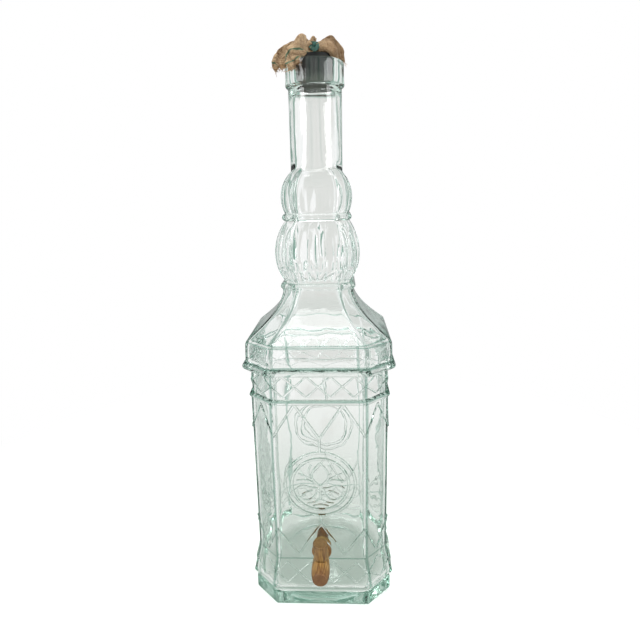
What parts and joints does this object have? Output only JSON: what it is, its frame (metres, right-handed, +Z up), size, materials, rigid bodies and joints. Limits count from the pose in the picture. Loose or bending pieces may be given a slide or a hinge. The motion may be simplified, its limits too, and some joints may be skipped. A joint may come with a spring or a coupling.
{
  "type": "liquor fountain",
  "caption": "Tall eight-sided clear glass drinks bottle with a hollow-curved shoulder, swelling neck, wooden tap near the foot and a cloth-dressed stopper.",
  "frame": {"origin": "middle of the foot, on the surface that it stands on", "axes": "+Z up, -Y the side that the tap points to, +X to the right of a person who faces the tap"},
  "size_m": [0.1724, 0.2132, 0.6474],
  "materials": {
    "bottle_glass": "clear pale aqua recycled glass, moulded, with a soft wavy surface",
    "tap_wood": "turned beech, oiled to a warm brown, with end grain on the front face",
    "key_wood": "turned beech, oiled",
    "cork": "natural cork with dark pits",
    "stopper_rubber": "matt dark green moulded rubber",
    "cloth": "coarse plain-woven tan cloth with thin green stripes and frayed edges",
    "tie_ribbon": "narrow woven green tape"
  },
  "bodies": {
    "bottle": {"glass_bottle": "bottle_glass", "hole_bush": "cork", "tap_body": "tap_wood", "key_sleeve": "cork"},
    "key": {"tap_key": "key_wood"},
    "stopper": {"stopper_plug": "stopper_rubber", "stopper_cloth": "cloth", "stopper_tie": "tie_ribbon"}
  },
  "joints": [
    {"name": "key_turn", "type": "hinge", "parent": "bottle", "child": "key", "pos_m": [0, -0.1035, 0.075], "axis": [0, 0, 1], "range_deg": [0, 90]},
    {"name": "stopper_lift", "type": "slide", "parent": "bottle", "child": "stopper", "axis": [0, 0, 1], "range_m": [0, 0.075]}
  ]
}
